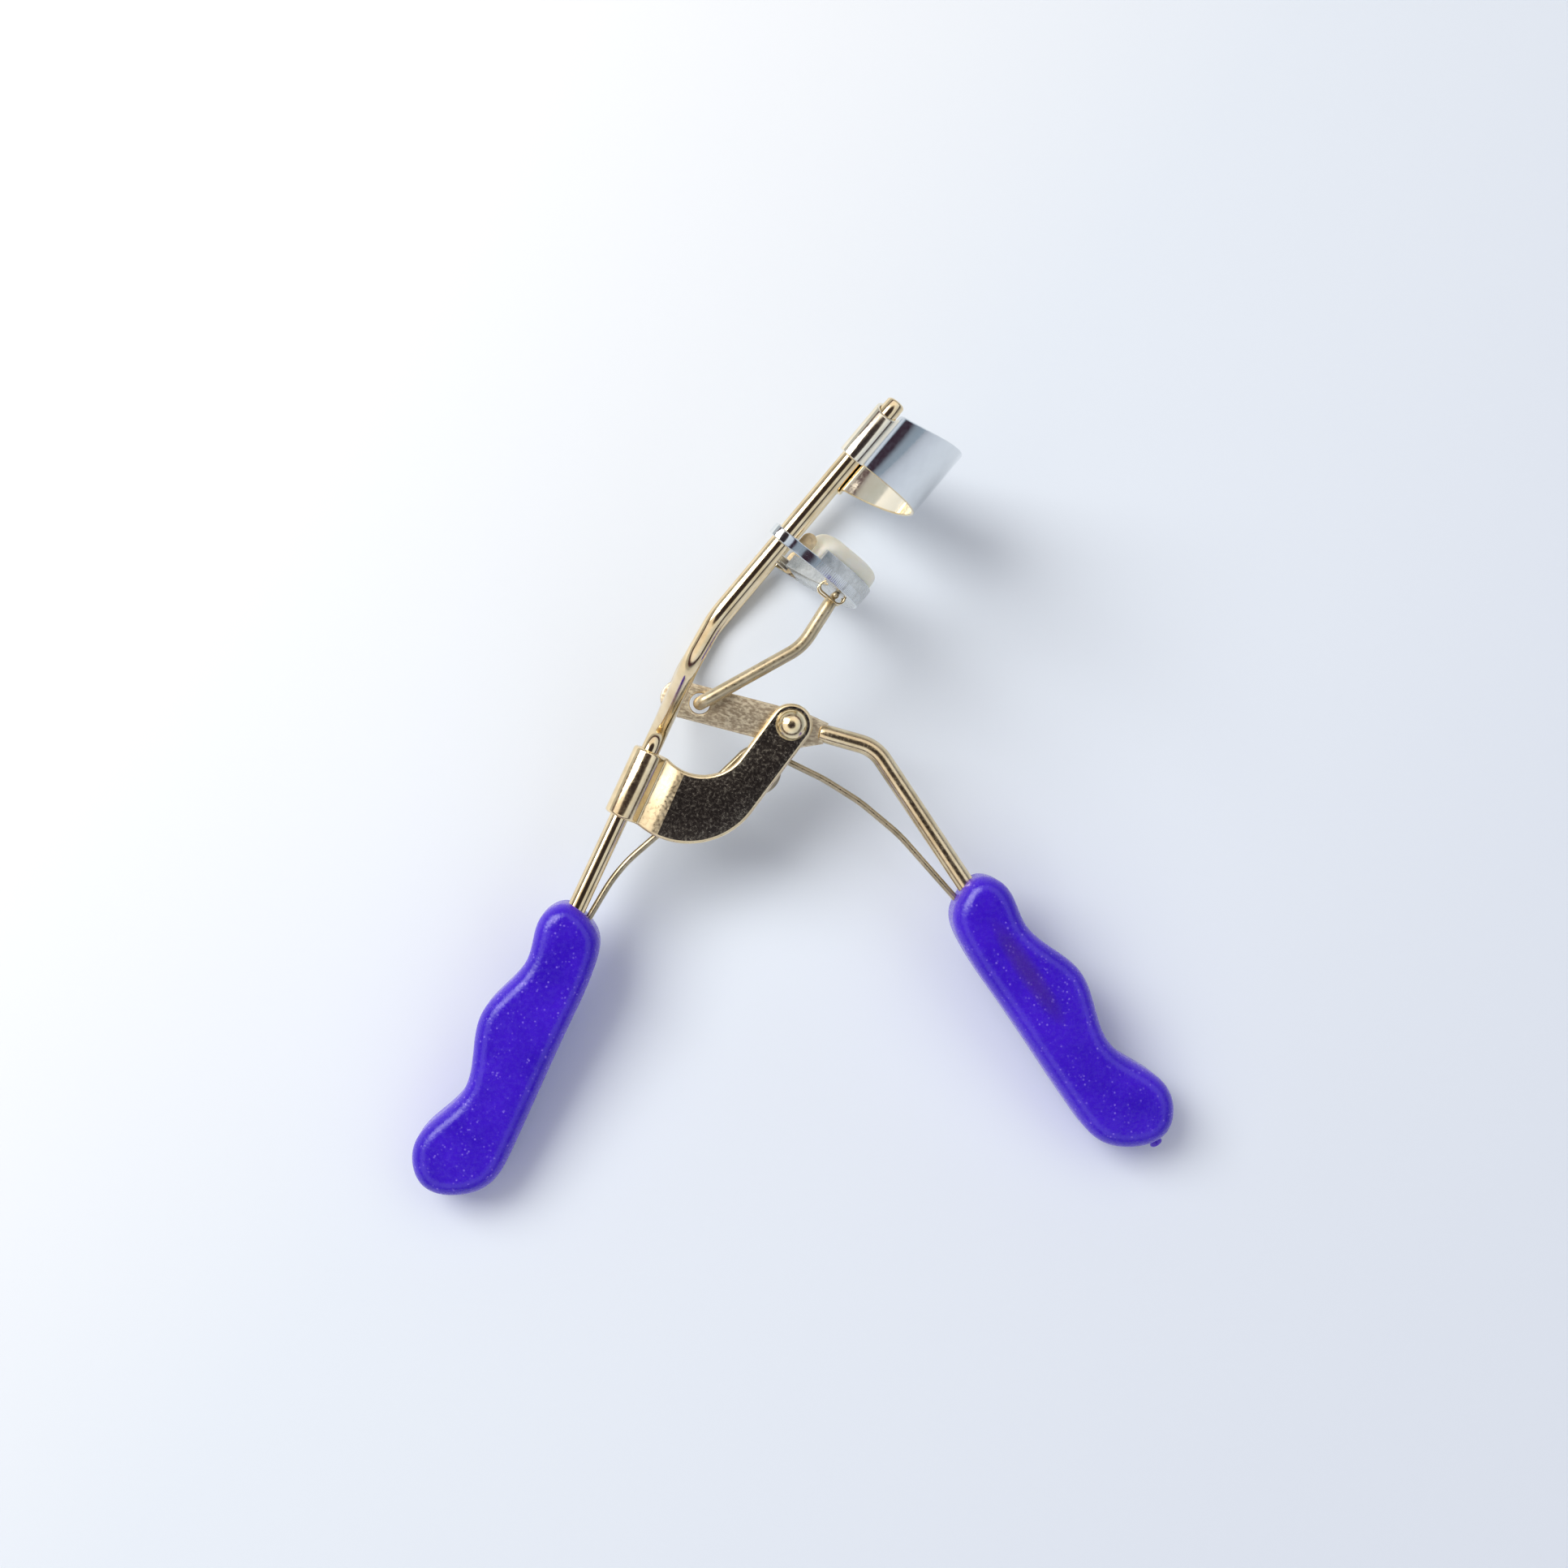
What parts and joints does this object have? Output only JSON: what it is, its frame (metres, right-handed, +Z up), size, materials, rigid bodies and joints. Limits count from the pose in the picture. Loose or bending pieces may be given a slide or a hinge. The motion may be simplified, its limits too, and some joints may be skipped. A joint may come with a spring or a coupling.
{
  "type": "eyelash curler",
  "caption": "Scissor-action eyelash curler: sprung lever and link slide a padded lower jaw up two wire guides against a fixed curved jaw.",
  "frame": {"origin": "middle of the bounding box's base, on the table that the tool lies on", "axes": "+Z up from the table, the broad side facing up and tilted because the tool rests on its far shoulder and both grip toes; +Y from the grips towards the jaws; +X from the frame's grip towards the lever's grip"},
  "size_m": [0.0947, 0.0992, 0.0404],
  "materials": {
    "gold_wire": "polished pale gold plating",
    "jaw_chrome": "polished nickel plating",
    "satin_gold": "satin pale gold plating",
    "bracket_gold": "plated pressed sheet",
    "rivet_gold": "polished",
    "spring_steel": "dull plated wire",
    "violet_plastic": "satin violet-blue moulding",
    "cream_silicone": "matt"
  },
  "bodies": {
    "frame": {"near_guide_rod": "gold_wire", "far_guide_rod": "gold_wire", "upper_jaw": "jaw_chrome", "pivot_bracket": "bracket_gold", "pivot_rivet": "rivet_gold", "frame_grip": "violet_plastic", "return_spring": "spring_steel"},
    "lever": {"lever": "satin_gold", "lever_grip": "violet_plastic"},
    "link": {"link_wire": "satin_gold"},
    "slider": {"lower_jaw": "jaw_chrome", "jaw_pad": "cream_silicone"}
  },
  "joints": [
    {"name": "lever_squeeze", "type": "hinge", "parent": "frame", "child": "lever", "pos_m": [-0.00015, 0.00818, 0.01495], "axis": [-0.015, 0.2059, -0.9785], "range_deg": [0, 43], "stiffness_Nm_per_rad": 0.2, "springref_deg": -20.05, "deforming": ["return_spring"]},
    {"name": "jaw_slide", "type": "slide", "parent": "frame", "child": "slider", "axis": [0.6427, 0.7516, 0.1483], "range_m": [0, 0.00838]},
    {"name": "link_swing", "type": "hinge", "parent": "lever", "child": "link", "pos_m": [-0.01154, 0.01073, 0.01567], "axis": [0.015, -0.2059, 0.9785], "range_deg": [0, 41]}
  ],
  "couplings": [
    {"joint": "jaw_slide", "follows": "lever_squeeze", "m_per_rad": 0.01114},
    {"joint": "link_swing", "follows": "lever_squeeze", "ratio": 0.94}
  ]
}
